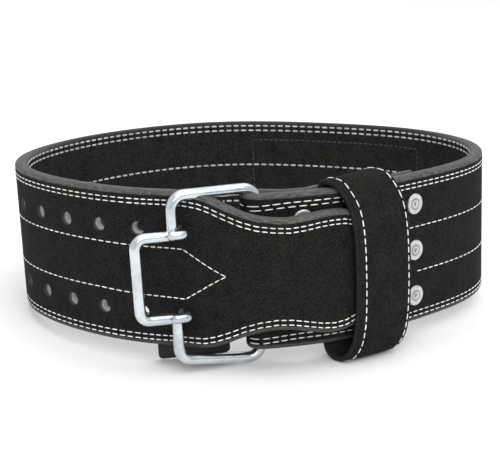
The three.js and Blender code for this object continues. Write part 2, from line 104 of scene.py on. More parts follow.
def route_points(per_span):
    """The belt's middle line seen from above, a closed spline that starts at the fold."""
    corners = np.array(LOOP_ROUTE) * (LOOP_HALF_WIDTH, LOOP_HALF_DEPTH)
    t = np.arange(per_span)[:, None] / per_span
    weights = [(1 - t) ** 3 / 6, (3 * t ** 3 - 6 * t ** 2 + 4) / 6,
               (-3 * t ** 3 + 3 * t ** 2 + 3 * t + 1) / 6, t ** 3 / 6]
    spans = [sum(w * corners[(i + k) % len(corners)] for k, w in enumerate(weights))
             for i in range(len(corners))]
    points = np.concatenate(spans)
    after = np.roll(points, -1, 0)
    front = (points[:, 1] < 0) & (points[:, 0] <= FOLD_ACROSS) & (after[:, 0] > FOLD_ACROSS)
    return np.roll(points, -int(np.flatnonzero(front)[0]), 0)


def at_mark(u, marks, points, period=None):
    """The place at a distance along a line, from its points and the distance of each."""
    return np.stack([np.interp(u, marks, points[:, k], period=period) for k in (0, 1)], -1)


route = route_points(per_span=300)
steps = np.linalg.norm(np.roll(route, -1, 0) - route, axis=1)
route_s = np.concatenate([[0], np.cumsum(steps)[:-1]])
LOOP = float(steps.sum())
FIRST_HOLE = LOOP - HOLES_BEFORE_FOLD


def on_route(s):
    return at_mark(np.mod(s, LOOP), route_s, route, LOOP)


def square_to(here, there):
    """Direction across a line from here to there, to its right."""
    along = there - here
    along /= np.linalg.norm(along, axis=-1, keepdims=True)
    return np.stack([along[..., 1], -along[..., 0]], -1)


def outward(s):
    return square_to(on_route(s - 1), on_route(s + 1))


def rise(s):
    """How much the strap climbs on its way round."""
    return CLIMB * (s / LOOP - 0.5)


def tongue_lift(s):
    """How far the free end stands off the ring that it lies over."""
    up = ease((s - (LOOP - LIFT_RUN)) / (LIFT_RUN + FOLD_AT))
    down = ease((s - LOOP - FOLD_AT) / (KEEPER_START - FOLD_AT))
    return up * (STRAP_THICKNESS + LIFT_AT_FOLD + (LIFT_AT_KEEPER - LIFT_AT_FOLD) * down)


fold_inner = WIRE_RADIUS + WIRE_GAP
bar_offset = HALF - FOLD_THICKNESS - fold_inner
fold_out = outward(FOLD_AT)
fold_along = np.array([-fold_out[1], fold_out[0]])
bar = on_route(FOLD_AT) + fold_out * bar_offset
keeper_inner = -(HALF + GAP + KEEPER_THICKNESS / 2)
keeper_outer = (HALF + LIFT_AT_KEEPER + STRAP_THICKNESS + GAP + KEEPER_THICKNESS / 2
                + KEEPER_BOW)
keeper_inner_start = KEEPER_START + KEEPER_SKEW * (keeper_inner - keeper_outer)


def flap_depth(s):
    """How far the riveted flap lies behind the strap's middle, with its bulge over the keeper."""
    pressed = HALF + GAP + FLAP_THICKNESS / 2
    at_fold = fold_inner + FLAP_THICKNESS / 2 - bar_offset
    rises = RIVET_COLUMNS["fold"] + RIVET_HEAD_RADIUS
    leaving = ease((s - FOLD_AT) / (rises - 2 * RIVET_HEAD_RADIUS - FOLD_AT))
    rising = ease((s - rises) / (keeper_inner_start - GAP - rises))
    falls = keeper_inner_start + KEEPER_WIDTH + GAP
    falling = ease((s - falls) / (RIVET_COLUMNS["rear"] - RIVET_HEAD_RADIUS - falls))
    bulge = (KEEPER_THICKNESS + GAP) * (rising - falling)
    return at_fold + (pressed - at_fold) * leaving + bulge


# Along the strap: the flap ends at fold_start, the fold at FOLD_AT, then come ring and tongue
fold_length = math.pi * (fold_inner + FLAP_THICKNESS / 2)
fold_start = FOLD_AT - fold_length
STRAP_START = fold_start - (FLAP_END - FOLD_AT)
STRAP_END = LOOP + TONGUE_REACH


def strap_run(step=0.5, beyond=2):
    """Where the strap's middle runs seen from above, which way it faces and how thick it is."""
    along = np.arange(STRAP_START - beyond, STRAP_END + beyond, step)
    flap = along < fold_start
    ring = along >= FOLD_AT
    s = np.where(ring, along, np.where(flap, FOLD_AT + fold_start - along, FOLD_AT))
    turn = np.clip((FOLD_AT - along) / fold_length, 0, 1) * math.pi
    full = ease((s - FOLD_AT) / SKIVE_RUN)
    thick_ring = FOLD_THICKNESS + (STRAP_THICKNESS - FOLD_THICKNESS) * full
    thick_fold = FOLD_THICKNESS + (FLAP_THICKNESS - FOLD_THICKNESS) * turn / math.pi
    thick = np.where(ring, thick_ring, np.where(flap, FLAP_THICKNESS, thick_fold))
    out_s = outward(s)
    offset = np.where(ring, (STRAP_THICKNESS - thick) / 2 + tongue_lift(s), -flap_depth(s))
    plan = on_route(s) + out_s * offset[:, None]
    radial = fold_out * np.cos(turn)[:, None] - fold_along * np.sin(turn)[:, None]
    in_fold = (~ring & ~flap)[:, None]
    plan = np.where(in_fold, bar + radial * (fold_inner + thick / 2)[:, None], plan)
    facing = square_to(np.roll(plan, 1, 0), np.roll(plan, -1, 0))
    return along, plan, facing, s, thick


run = strap_run()


EDGE_KEPT = 14


def narrowed(along, height):
    """Height on the tongue, which narrows: its edges are kept and what is between gives way."""
    share = (along - (STRAP_END - TONGUE_LENGTH)) / TONGUE_LENGTH
    top = np.interp(share, TONGUE_SHAPE[:, 0], TONGUE_SHAPE[:, 1]) * STRAP_WIDTH
    bottom = np.interp(share, TONGUE_SHAPE[:, 0], TONGUE_SHAPE[:, 2]) * STRAP_WIDTH
    middle = STRAP_WIDTH / 2
    inner = middle - EDGE_KEPT
    up = height - middle
    high = np.clip((up + inner) / (2 * inner), 0, 1)
    room = np.clip((STRAP_WIDTH - top - bottom) / 2, 0, None)
    spread = height + bottom - (top + bottom) * high
    squeezed = (STRAP_WIDTH - top + bottom) / 2 + up * np.clip(room / middle, 0, 1)
    return np.where(room > EDGE_KEPT, spread, squeezed)


rest_turn = np.array(Quaternion(REST_AXIS, REST_TURN).to_matrix())


def settled(points):
    """Belt frame in millimetres to the frame of the model in metres."""
    return (np.asarray(points) @ rest_turn.T + REST_SHIFT) / 1000


def leaning(plan, height):
    """A place in the belt frame from its plan and height, as the whole belt leans to one side."""
    return np.stack([plan[..., 0] + LEAN * (height - STRAP_WIDTH / 2), plan[..., 1], height], -1)


def on_strap(flat):
    """Bends flat places on the strap to its run."""
    along, plan, facing, s, thick = run
    flat = np.asarray(flat, float)
    a = flat[:, 0]
    out = at_mark(a, along, facing)
    out /= np.linalg.norm(out, axis=1, keepdims=True)
    offset = flat[:, 1] * np.interp(a, along, thick) / STRAP_THICKNESS
    height = narrowed(a, flat[:, 2]) + rise(np.interp(a, along, s))
    return settled(leaning(at_mark(a, along, plan) + out * offset[:, None], height))


def sheet_grid(along_lines, up_lines):
    """A flat sheet of leather with its grid on the given lines."""
    bm = bmesh.new()
    nx, ny = len(along_lines) - 1, len(up_lines) - 1
    made = bmesh.ops.create_grid(bm, x_segments=nx, y_segments=ny, size=1)
    for v in made["verts"]:
        i = round((v.co.x + 1) / 2 * nx)
        k = round((v.co.y + 1) / 2 * ny)
        v.co = (along_lines[i], 0, up_lines[k])
    return bm


def punch_hole(bm, along, up, radius, cell):
    """Takes two by two cells out of a flat grid and draws their outline into a circle."""
    centre = Vector((along, 0, up))
    inside = [f for f in bm.faces
              if max(abs(c) for c in f.calc_center_median() - centre) < cell]
    bmesh.ops.delete(bm, geom=inside, context="FACES")

    def near(v):
        return (v.co - centre).length < 1.5 * cell

    rim = [e for e in bm.edges if e.is_boundary and all(near(v) for v in e.verts)]
    bmesh.ops.subdivide_edges(bm, edges=rim, cuts=3)
    for v in bm.verts:
        if v.is_boundary and near(v):
            v.co = centre + (v.co - centre).normalized() * radius


SAME_PLACE = 0.01


def thicken(bm, thickness, edge_radius, hole_radius, on_edge):
    """Gives a flat sheet its thickness and rounds its cut edges."""
    bm.normal_update()
    bmesh.ops.recalc_face_normals(bm, faces=bm.faces[:])
    bmesh.ops.solidify(bm, geom=bm.faces[:], thickness=thickness)
    bm.normal_update()
    low = min(v.co.y for v in bm.verts)
    high = max(v.co.y for v in bm.verts)
    bmesh.ops.translate(bm, verts=bm.verts[:], vec=(0, -(low + high) / 2, 0))
    bmesh.ops.recalc_face_normals(bm, faces=bm.faces[:])
    sharp = [e for e in bm.edges if len(e.link_faces) == 2 and e.calc_face_angle() > 1]
    sharp = [e for e in sharp if abs(e.verts[0].co.y - e.verts[1].co.y) < SAME_PLACE]
    outline = [e for e in sharp if on_edge(e)]
    holes = [e for e in sharp if not on_edge(e)]
    for edges, radius, segments in ((outline, edge_radius, 3), (holes, hole_radius, 2)):
        if edges and radius:
            bmesh.ops.bevel(bm, geom=edges, offset=radius, offset_type="OFFSET",
                            affect="EDGES", segments=segments, profile=0.5, material=-1)


def new_mesh(name, bm):
    mesh = bpy.data.meshes.new(name)
    bm.to_mesh(mesh)
    bm.free()
    return mesh


def add_object(name, data):
    added = bpy.data.objects.new(name, data)
    bpy.context.scene.collection.objects.link(added)
    return added


def add_piece(name, mesh, materials):
    for material in materials:
        mesh.materials.append(material)
    piece = add_object(name, mesh)
    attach(piece, "root")
    return piece


def finish_piece(bm, name, bend, materials):
    """Keeps each vertex's flat place as an attribute, bends the mesh and makes the object."""
    flat = np.array([v.co[:] for v in bm.verts])
    for v, place in zip(bm.verts, bend(flat)):
        v.co = place
    bm.normal_update()
    bmesh.ops.recalc_face_normals(bm, faces=bm.faces[:])
    for f in bm.faces:
        f.smooth = True
    mesh = new_mesh(name, bm)
    layer = mesh.attributes.new("flat", "FLOAT_VECTOR", "POINT")
    layer.data.foreach_set("vector", flat.astype(np.float32).ravel())
    return add_piece(name, mesh, materials)


def new_material(name):
    """A material with only its main shader, and that shader."""
    material = bpy.data.materials.new(name)
    material.use_nodes = True
    nodes = material.node_tree.nodes
    nodes.clear()
    shader = nodes.new("ShaderNodeBsdfPrincipled")
    output = nodes.new("ShaderNodeOutputMaterial")
    material.node_tree.links.new(shader.outputs["BSDF"], output.inputs["Surface"])
    return material, shader


class Mixer:
    """Short names for the nodes that the leathers and metals are mixed from."""

    def __init__(self, material):
        self.tree = material.node_tree

    def link(self, source, socket):
        if isinstance(source, (int, float)):
            socket.default_value = source
        elif isinstance(source, tuple):
            socket.default_value = (*source, 1)
        else:
            self.tree.links.new(source, socket)

    def math(self, operation, a, b=0.0):
        node = self.tree.nodes.new("ShaderNodeMath")
        node.operation = operation
        self.link(a, node.inputs[0])
        self.link(b, node.inputs[1])
        return node.outputs[0]

    def places(self):
        return self.tree.nodes.new("ShaderNodeTexCoord").outputs["Object"]

    def flat(self):
        """The flat place of each point: along, outwards, up, and all three."""
        node = self.tree.nodes.new("ShaderNodeAttribute")
        node.attribute_name = "flat"
        split = self.tree.nodes.new("ShaderNodeSeparateXYZ")
        self.tree.links.new(node.outputs["Vector"], split.inputs[0])
        return (*split.outputs, node.outputs["Vector"])

    def noise(self, where, scale, detail=3.0, rough=0.55, stretch=None):
        if stretch:
            turn = self.tree.nodes.new("ShaderNodeMapping")
            turn.inputs["Scale"].default_value = stretch
            self.tree.links.new(where, turn.inputs["Vector"])
            where = turn.outputs[0]
        node = self.tree.nodes.new("ShaderNodeTexNoise")
        node.inputs["Scale"].default_value = scale
        node.inputs["Detail"].default_value = detail
        node.inputs["Roughness"].default_value = rough
        self.tree.links.new(where, node.inputs["Vector"])
        return node.outputs[0]

    def ramp(self, value, low, high, bottom=0.0, top=1.0):
        node = self.tree.nodes.new("ShaderNodeMapRange")
        node.interpolation_type = "SMOOTHSTEP"
        self.link(value, node.inputs["Value"])
        node.inputs["From Min"].default_value = low
        node.inputs["From Max"].default_value = high
        node.inputs["To Min"].default_value = bottom
        node.inputs["To Max"].default_value = top
        return node.outputs[0]

    def mix(self, share, a, b):
        node = self.tree.nodes.new("ShaderNodeMix")
        node.data_type = "RGBA"
        self.link(share, node.inputs[0])
        self.link(a, node.inputs[6])
        self.link(b, node.inputs[7])
        return node.outputs[2]

    def bump(self, height, strength, distance, after=None):
        node = self.tree.nodes.new("ShaderNodeBump")
        node.inputs["Strength"].default_value = strength
        node.inputs["Distance"].default_value = distance
        self.tree.links.new(height, node.inputs["Height"])
        if after:
            self.tree.links.new(after, node.inputs["Normal"])
        return node.outputs[0]


SUEDE_DARK = (0.0034, 0.0033, 0.0030)
SUEDE_LIGHT = (0.0195, 0.0190, 0.0176)
SUEDE_INNER = (0.031, 0.030, 0.028)
SUEDE_LINT = (0.075, 0.073, 0.070)
RIM_LIGHT = (0.150, 0.145, 0.140)
RIM_DARK = (0.034, 0.033, 0.032)
RIM_GRAIN = (0.3, 1.7, 1.0)
# Painted shade on the rims round the back of the ring: its colour, where it fades in and out along
# the strap, and how much of it is mixed in
BACK_RIM_SHADE = (0.012, 0.012, 0.011)
BACK_SHADE_FROM = (250, 330)
BACK_SHADE_TO = (620, 710)
BACK_SHADE_SHARE = 0.85


def suede_material(name, width, rim_depth, rim_dark=RIM_DARK, rim_light=RIM_LIGHT):
    """Black suede with a nap and lint, paler inside, with burnished rims at the cut edges, darkened
    by painted shade in their lower half and round the back.
    """
    material, shader = new_material(name)
    m = Mixer(material)
    along, out, up, flat = m.flat()
    where = m.places()
    patches = m.noise(where, scale=95, detail=4.0, rough=0.6)
    nap = m.noise(where, scale=820, detail=4.0, rough=0.75)
    fibre = m.noise(where, scale=1300, detail=1.0, rough=0.5)
    tone = m.math("ADD", m.math("MULTIPLY", patches, 0.2), m.math("MULTIPLY", nap, 0.8))
    # The inner face gets a paler suede colour than the outer face
    nap_light = m.mix(m.ramp(out, -2, 2), SUEDE_INNER, SUEDE_LIGHT)
    suede = m.mix(m.ramp(tone, 0.35, 0.65), SUEDE_DARK, nap_light)
    lint = m.ramp(fibre, 0.70, 0.76)
    suede = m.mix(m.math("MULTIPLY", lint, 0.55), suede, SUEDE_LINT)

    # Rims: streaked along the belt, with painted shade that darkens them in the lower half and
    # round the back
    edge = m.math("MINIMUM", up, m.math("SUBTRACT", width, up))
    uneven = m.math("SUBTRACT", m.noise(flat, scale=0.22, detail=2.0), 0.5)
    wander = m.math("MULTIPLY", uneven, 1.2)
    rim = m.ramp(m.math("ADD", edge, wander), rim_depth - 0.5, rim_depth + 0.5, 1, 0)
    streak = m.noise(flat, scale=0.9, detail=5.0, rough=0.7, stretch=RIM_GRAIN)
    rim_colour = m.mix(m.ramp(streak, 0.28, 0.76), rim_dark, rim_light)
    # Painted shade: the rims are darkened in the lower half, where the bottom edge falls in shade
    lower = m.ramp(up, width * 0.4, width * 0.6, 0.35, 1)
    rim_colour = m.mix(lower, rim_dark, rim_colour)
    # Painted shade: the rims round the back of the ring are darkened towards a near-black colour,
    # where they fall in shade
    back = m.math("MULTIPLY", m.ramp(along, *BACK_SHADE_FROM), m.ramp(along, *BACK_SHADE_TO, 1, 0))
    rim_colour = m.mix(m.math("MULTIPLY", back, BACK_SHADE_SHARE), rim_colour, BACK_RIM_SHADE)
    colour = m.mix(rim, suede, rim_colour)
    m.link(colour, shader.inputs["Base Color"])
    rough = m.math("SUBTRACT", 0.95, m.math("MULTIPLY", rim, 0.42))
    m.link(rough, shader.inputs["Roughness"])
    shader.inputs["Specular IOR Level"].default_value = 0.12
    raised = m.bump(nap, strength=0.35, distance=0.0006)
    raised = m.bump(streak, strength=0.18, distance=0.0004, after=raised)
    m.link(raised, shader.inputs["Normal"])
    return material


def cut_material(name, core, dyed):
    """The cut wall of a punched hole: a pale core between two layers dyed black."""
    material, shader = new_material(name)
    m = Mixer(material)
    grain = m.noise(m.places(), scale=700, detail=3.0)
    out = m.flat()[1]
    depth = m.math("ADD", m.math("ABSOLUTE", out), m.math("MULTIPLY", grain, 1.2))
    layer = m.ramp(depth, 2.2, 3.4)
    m.link(m.mix(layer, core, dyed), shader.inputs["Base Color"])
    shader.inputs["Roughness"].default_value = 0.6
    m.link(m.bump(grain, strength=0.3, distance=0.0003), shader.inputs["Normal"])
    return material


RIM_RADIUS = 2.2
HOLE_EDGE = 0.35
HOLE_TAPER = 0.78
WALL_MARGIN = 0.15
CELL = 3.5
WIDEST_CELL = 1.3 * CELL
EDGE_CELL = 3.6
CELLS_BY_HOLES = 5
FOLD_MARGIN = 4
FOLD_CELLS = 27
TIP_MARGIN = 6
TIP_CELLS = 5
SLOT_REACH = {"flap": 9, "ring": 10}


def strap_lines():
    """Lines of the strap's flat grid: even cells on the hole pitch, finer round the fold."""
    before = math.floor((FIRST_HOLE - FOLD_AT - FOLD_MARGIN) / CELL)
    ring = [FIRST_HOLE - CELL * k for k in range(before, -1, -1)]
    after = math.floor((STRAP_END - TIP_MARGIN - FIRST_HOLE) / CELL)
    ring += [FIRST_HOLE + CELL * k for k in range(1, after + 1)]
    tip = list(np.linspace(ring[-1], STRAP_END, TIP_CELLS + 1)[1:])
    flap_end = fold_start - FOLD_MARGIN
    fold = list(np.linspace(flap_end, ring[0], FOLD_CELLS + 1)[:-1])
    flap_cells = round((flap_end - STRAP_START) / CELL)
    flap = list(np.linspace(STRAP_START, flap_end, flap_cells + 1)[:-1])
    near = range(-CELLS_BY_HOLES, CELLS_BY_HOLES + 1)
    up = sorted({round(h + CELL * k, 3) for h in HOLE_HEIGHTS for k in near})
    up = [0] + up + [STRAP_WIDTH - EDGE_CELL, STRAP_WIDTH]
    filled = [up[0]]
    for line in up[1:]:
        pieces = max(1, math.ceil((line - filled[-1]) / WIDEST_CELL))
        filled += list(np.linspace(filled[-1], line, pieces + 1)[1:])
    return flap + fold + ring + tip, filled


def prong_height(hole_height):
    """Height in the belt frame of the first hole of a row, which takes a prong."""
    return hole_height + rise(FIRST_HOLE)


def nearest_hole(place):
    """Number and centre of the punched hole nearest to a place on the flat strap."""
    k = round((FIRST_HOLE - place.x) / HOLE_PITCH)
    k = min(max(k, 0), HOLE_PAIRS - 1)
    height = min(HOLE_HEIGHTS, key=lambda h: abs(place.z - h))
    return k, Vector((FIRST_HOLE - k * HOLE_PITCH, place.y, height))


def strap_piece():
    bm = sheet_grid(*strap_lines())
    for k in range(HOLE_PAIRS):
        for height in HOLE_HEIGHTS:
            punch_hole(bm, FIRST_HOLE - k * HOLE_PITCH, height, HOLE_DIAMETER / 2, CELL)
    slot_from = fold_start - SLOT_REACH["flap"]
    slot_to = FOLD_AT + SLOT_REACH["ring"]
    slots = [prong_height(h) - rise(FOLD_AT) for h in HOLE_HEIGHTS]
    cut = [f for f in bm.faces
           if slot_from < f.calc_center_median().x < slot_to
           and min(abs(f.calc_center_median().z - z) for z in slots) < CELL]
    bmesh.ops.delete(bm, geom=cut, context="FACES")

    def on_outline(edge):
        ends = [v.co for v in edge.verts]
        sides = ((0, 2), (STRAP_WIDTH, 2), (STRAP_START, 0), (STRAP_END, 0))
        return any(all(abs(co[k] - side) < SAME_PLACE for co in ends) for side, k in sides)

    thicken(bm, STRAP_THICKNESS, RIM_RADIUS, HOLE_EDGE, on_outline)
    wall = HOLE_DIAMETER / 2 + WALL_MARGIN
    for f in bm.faces:
        middle = f.calc_center_median()
        k, centre = nearest_hole(middle)
        if (middle - centre).length < wall and abs(f.normal.y) < 0.8:
            f.material_index = 1
    for v in bm.verts:
        k, centre = nearest_hole(v.co)
        arm = v.co - centre
        if k > 0 and v.co.y < 0 and arm.length < HOLE_DIAMETER / 2 + 2 * HOLE_EDGE:
            v.co = centre + arm * HOLE_TAPER
    return finish_piece(bm, "strap_leather", on_strap, [
        suede_material("black_suede", STRAP_WIDTH, rim_depth=2.9),
        cut_material("cut_leather", core=(0.50, 0.49, 0.48), dyed=(0.035, 0.034, 0.033)),
    ])


strap = strap_piece()
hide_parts("strap")


# Strap stitching: white bonded thread, sewn by machine in double rows along both edges, in two
# single lines along the middle that meet in a point on the tongue, and in curled rows at the
# fold. Each stitch is a short fat grain of thread pulled into the suede.
THREAD_WIDTH = 0.8
THREAD_HEIGHT = 0.7
THREAD_LIE = 0.05
STITCH_PITCH = 5.7
STITCH_LENGTH = 4.35
ROWS_TOP = (5.84, 8.63)
ROWS_BOTTOM = (3.75, 6.85)
ROWS_END = 20
TONGUE_ROWS_FROM = 66
TONGUE_PITCH = 4.5
TONGUE_STITCH = 3.45
INNER_ROWS_TOP = (2.9, 6.7)
INNER_ROWS_FROM = 12
INNER_LINES_FROM = 6
INNER_PITCH = 6.35
INNER_STITCH = 4.8
INNER_THREAD = 1.5
FOLD_PITCH = 6.9
FOLD_STITCH = 5.3
FOLD_ROWS_FROM = (-1.0, 6.5)
LOWER_ROWS_FROM = 4.5
FOLD_ROWS_TO = 38
FOLD_ROWS_SINK = 1.8
FOLD_ROWS_CLIMB = 2.4
FOLD_ROWS_POINTS = 12
UNDER_KEEPER = 6
LINES = (
    {"from": 120.2, "height": 66.0, "corner": 64.9},
    {"from": 127.6, "height": 34.9, "corner": 32.3},
)
LINE_BEND = 95
POINT_CORNER = 34.8
POINT_TIP = {"before_fold": 9.6, "height": 49.9}


def thread_material(name, light, dark):
    material, shader = new_material(name)
    m = Mixer(material)
    twist = m.noise(m.places(), scale=1600, detail=2.0)
    soil = m.noise(m.places(), scale=60, detail=2.0)
    tone = m.math("ADD", m.math("MULTIPLY", twist, 0.5), m.math("MULTIPLY", soil, 0.5))
    m.link(m.mix(m.ramp(tone, 0.38, 0.6), dark, light), shader.inputs["Base Color"])
    shader.inputs["Roughness"].default_value = 0.55
    m.link(m.bump(twist, strength=0.4, distance=0.0002), shader.inputs["Normal"])
    return material


def one_stitch(length, width, height):
    """A grain of thread lying along x: points and faces of one small closed mesh."""
    bm = bmesh.new()
    bmesh.ops.create_uvsphere(bm, u_segments=8, v_segments=6, radius=1)
    bmesh.ops.rotate(bm, verts=bm.verts[:], matrix=Matrix.Rotation(math.pi / 2, 3, "Y"))
    for v in bm.verts:
        v.co.x = math.copysign(abs(v.co.x) ** 0.7, v.co.x) * length / 2
        v.co.y *= height / 2
        v.co.z *= width / 2
    points = np.array([v.co[:] for v in bm.verts])
    faces = [[v.index for v in f.verts] for f in bm.faces]
    bm.free()
    return points, faces


def go_over(mesh, merge=0):
    """Joins points that are no further apart than merge and turns all faces outwards."""
    bm = bmesh.new()
    bm.from_mesh(mesh)
    if merge:
        bmesh.ops.remove_doubles(bm, verts=bm.verts[:], dist=merge)
    bmesh.ops.recalc_face_normals(bm, faces=bm.faces[:])
    for f in bm.faces:
        f.smooth = True
    bm.to_mesh(mesh)
    bm.free()


def sew(name, stitches, bend, material):
    """Joins stitches, each given as (middle, direction, length, width), in one bent mesh."""
    points, faces, count = [], [], 0
    for middle, direction, length, width in stitches:
        grain, shape = one_stitch(length, width, THREAD_HEIGHT)
        across = np.array([-direction[2], 0, direction[0]])
        axes = np.stack([np.array(direction), np.array([0, 1, 0]), across])
        points.append(grain @ axes + np.array(middle))
        faces += [[count + i for i in face] for face in shape]
        count += len(grain)
    mesh = bpy.data.meshes.new(name)
    mesh.from_pydata(bend(np.concatenate(points)).tolist(), [], faces)
    go_over(mesh)
    return add_piece(name, mesh, [material])


def seam(points, face, pitch=STITCH_PITCH, length=STITCH_LENGTH, width=THREAD_WIDTH):
    """Stitches along a line of flat (along, up) points on one face of the strap."""
    points = np.array(points, float)
    legs = np.linalg.norm(np.diff(points, axis=0), axis=1)
    marks = np.concatenate([[0], np.cumsum(legs)])

    def at(spot):
        return at_mark(spot, marks, points)

    count = max(1, round(marks[-1] / pitch))
    stitches = []
    for spot in (np.arange(count) + 0.5) * marks[-1] / count:
        along, up = at(spot)
        ahead = at(spot + 1) - at(spot - 1)
        ahead /= np.linalg.norm(ahead)
        stitches.append(((along, face, up), (ahead[0], 0, ahead[1]), length, width))
    return stitches


def strap_seams():
    lie = HALF + THREAD_LIE
    tongue = {"pitch": TONGUE_PITCH, "length": TONGUE_STITCH}
    inner = {"pitch": INNER_PITCH, "length": INNER_STITCH, "width": INNER_THREAD}
    fold_to = KEEPER_START + UNDER_KEEPER
    past_keeper = KEEPER_START + KEEPER_WIDTH
    past_rivets = RIVET_COLUMNS["rear"] + INNER_ROWS_FROM
    tongue_from = LOOP - TONGUE_ROWS_FROM
    end = STRAP_END - ROWS_END
    seams = []
    for row, start in zip(ROWS_TOP, FOLD_ROWS_FROM):
        height = STRAP_WIDTH - row
        bent = [(s, height - FOLD_ROWS_SINK * (1 - float(ease(s / FOLD_ROWS_TO))))
                for s in np.linspace(start, fold_to, FOLD_ROWS_POINTS)]
        seams += seam(bent, lie, FOLD_PITCH, FOLD_STITCH)
        seams += seam([(fold_to, height), (tongue_from, height)], lie)
        seams += seam([(tongue_from, height), (end, height)], lie, **tongue)
    for row in ROWS_BOTTOM:
        bent = [(s, row + FOLD_ROWS_CLIMB * float(ease(s / FOLD_ROWS_TO)))
                for s in np.linspace(LOWER_ROWS_FROM, fold_to, FOLD_ROWS_POINTS)]
        seams += seam(bent, lie)
        seams += seam([(past_keeper, row), (tongue_from, row)], lie)
        seams += seam([(tongue_from, row), (end, row)], lie, **tongue)
        seams += seam([(past_rivets, row), (end, row)], -lie, **inner)
    for row in INNER_ROWS_TOP:
        height = STRAP_WIDTH - row
        seams += seam([(past_rivets, height), (end, height)], -lie, **inner)
    tip = (LOOP - POINT_TIP["before_fold"], POINT_TIP["height"])
    share = (LINE_BEND - TONGUE_ROWS_FROM) / (LINE_BEND - POINT_CORNER)
    for line in LINES:
        height, low = line["height"], line["corner"]
        bend = (LOOP - LINE_BEND, height)
        corner = (LOOP - POINT_CORNER, low)
        meet = (tongue_from, height + (low - height) * share)
        seams += seam([(line["from"], height), bend, meet], lie)
        seams += seam([meet, corner], lie, **tongue)
        seams += seam([corner, tip], lie, **tongue)
        seams += seam([(FLAP_END + INNER_LINES_FROM, height), bend, corner], -lie, **inner)
    return seams


white_thread = thread_material("white_thread", (0.95, 0.95, 0.93), (0.66, 0.66, 0.64))
worn_thread = thread_material("worn_thread", (0.62, 0.62, 0.62), (0.36, 0.36, 0.36))
sewn = strap_seams()
for face, side, thread in (("outer", 1, white_thread), ("inner", -1, worn_thread)):
    on_face = [stitch for stitch in sewn if stitch[0][1] * side > 0]
    strap_stitches = sew("strap_stitches_" + face, on_face, on_strap, thread)


# Patch outline inside the back: black bonded thread, sewn by machine in a large rectangle through
# the inner suede face and the core.
PATCH = {"from": 318, "to": 463, "low": 14, "high": 87}
PATCH_PITCH = 4.6
PATCH_STITCH = 3.4
PATCH_THREAD = 1.2
PATCH_LIE = 0.02


def patch_seams():
    corners = [(PATCH["from"], PATCH["low"]), (PATCH["from"], PATCH["high"]),
               (PATCH["to"], PATCH["high"]), (PATCH["to"], PATCH["low"])]
    seams = []
    for a, b in zip(corners, corners[1:] + corners[:1]):
        seams += seam([a, b], -(HALF + PATCH_LIE), PATCH_PITCH, PATCH_STITCH, PATCH_THREAD)
    return seams


black_thread = thread_material("black_thread", (0.05, 0.05, 0.055), (0.02, 0.02, 0.02))
patch = sew("patch_stitches", patch_seams(), on_strap, black_thread)


# Keeper: a suede band bent into a loop round the strap and the free end, its inner run held
# between the strap and the riveted flap, with a row of white stitches near each edge.
KEEPER_DROP = 12
KEEPER_TOP_RISE = (1.4, 4.6)
KEEPER_TOP_FROM = 80
KEEPER_TOP_RUN = 24
KEEPER_EDGE = 1.1
KEEPER_CELLS = {"along": 120, "across": 13}
WELD = 1e-6
KEEPER_SHAPE = [
    (0, 0.5), (0, 0.8), (0, 0.93), (0.002, 0.968), (0.045, 0.994), (0.16, 1), (0.315, 0.998),
    (0.476, 0.987), (0.65, 0.946), (0.807, 0.897), (0.898, 0.847), (0.961, 0.761),
    (0.992, 0.657), (1, 0.55), (0.995, 0.38), (0.95, 0.21), (0.82, 0.085), (0.58, 0.012),
    (0.32, 0), (0.1, 0.03), (0.01, 0.11), (0, 0.25),
]
KEEPER_SEAMS = (5.8, 38.2)


def closed_curve(points, per_span):
    """A smooth closed curve through points, eased by the square root of their distance."""
    points = np.array(points, float)
    n = len(points)
    curve = []
    for i in range(n):
        p = [points[(i + k - 1) % n] for k in range(4)]
        gaps = [math.sqrt(np.linalg.norm(p[k + 1] - p[k])) for k in range(3)]
        start = (p[1] - p[0]) / gaps[0] - (p[2] - p[0]) / (gaps[0] + gaps[1])
        start = (start + (p[2] - p[1]) / gaps[1]) * gaps[1]
        end = (p[2] - p[1]) / gaps[1] - (p[3] - p[1]) / (gaps[1] + gaps[2])
        end = (end + (p[3] - p[2]) / gaps[2]) * gaps[1]
        for step in range(per_span):
            t = step / per_span
            curve.append(p[1] + start * t + (3 * (p[2] - p[1]) - 2 * start - end) * t ** 2
                         + (2 * (p[1] - p[2]) + start + end) * t ** 3)
    return np.array(curve)


keeper_top = STRAP_WIDTH + GAP + KEEPER_THICKNESS / 2
keeper_line = closed_curve([
    (keeper_inner + (keeper_outer - keeper_inner) * out, keeper_top * up - KEEPER_DROP * (1 - up))
    for out, up in KEEPER_SHAPE
], per_span=24)
keeper_legs = np.linalg.norm(np.roll(keeper_line, -1, 0) - keeper_line, axis=1)
keeper_marks = np.concatenate([[0], np.cumsum(keeper_legs)[:-1]])
KEEPER_LOOP = float(keeper_legs.sum())


def on_keeper(flat):
    """Bends flat places on the keeper: along its loop, outwards and across its width."""
    flat = np.asarray(flat, float)
    a = flat[:, 0]

    def at(u):
        return at_mark(u, keeper_marks, keeper_line, KEEPER_LOOP)

    middle = at(a)
    out = -square_to(at(a - 1), at(a + 1))
    spot = middle + out * flat[:, 1:2]
    s = KEEPER_START + flat[:, 2] + KEEPER_SKEW * (middle[:, 0] - keeper_outer)
    left, right = KEEPER_TOP_RISE
    lifted = left + (right - left) * flat[:, 2] / KEEPER_WIDTH
    spot[:, 1] += lifted * ease((spot[:, 1] - KEEPER_TOP_FROM) / KEEPER_TOP_RUN)
    plan = on_route(s) + outward(s) * spot[:, :1]
    return settled(leaning(plan, spot[:, 1] + rise(s)))


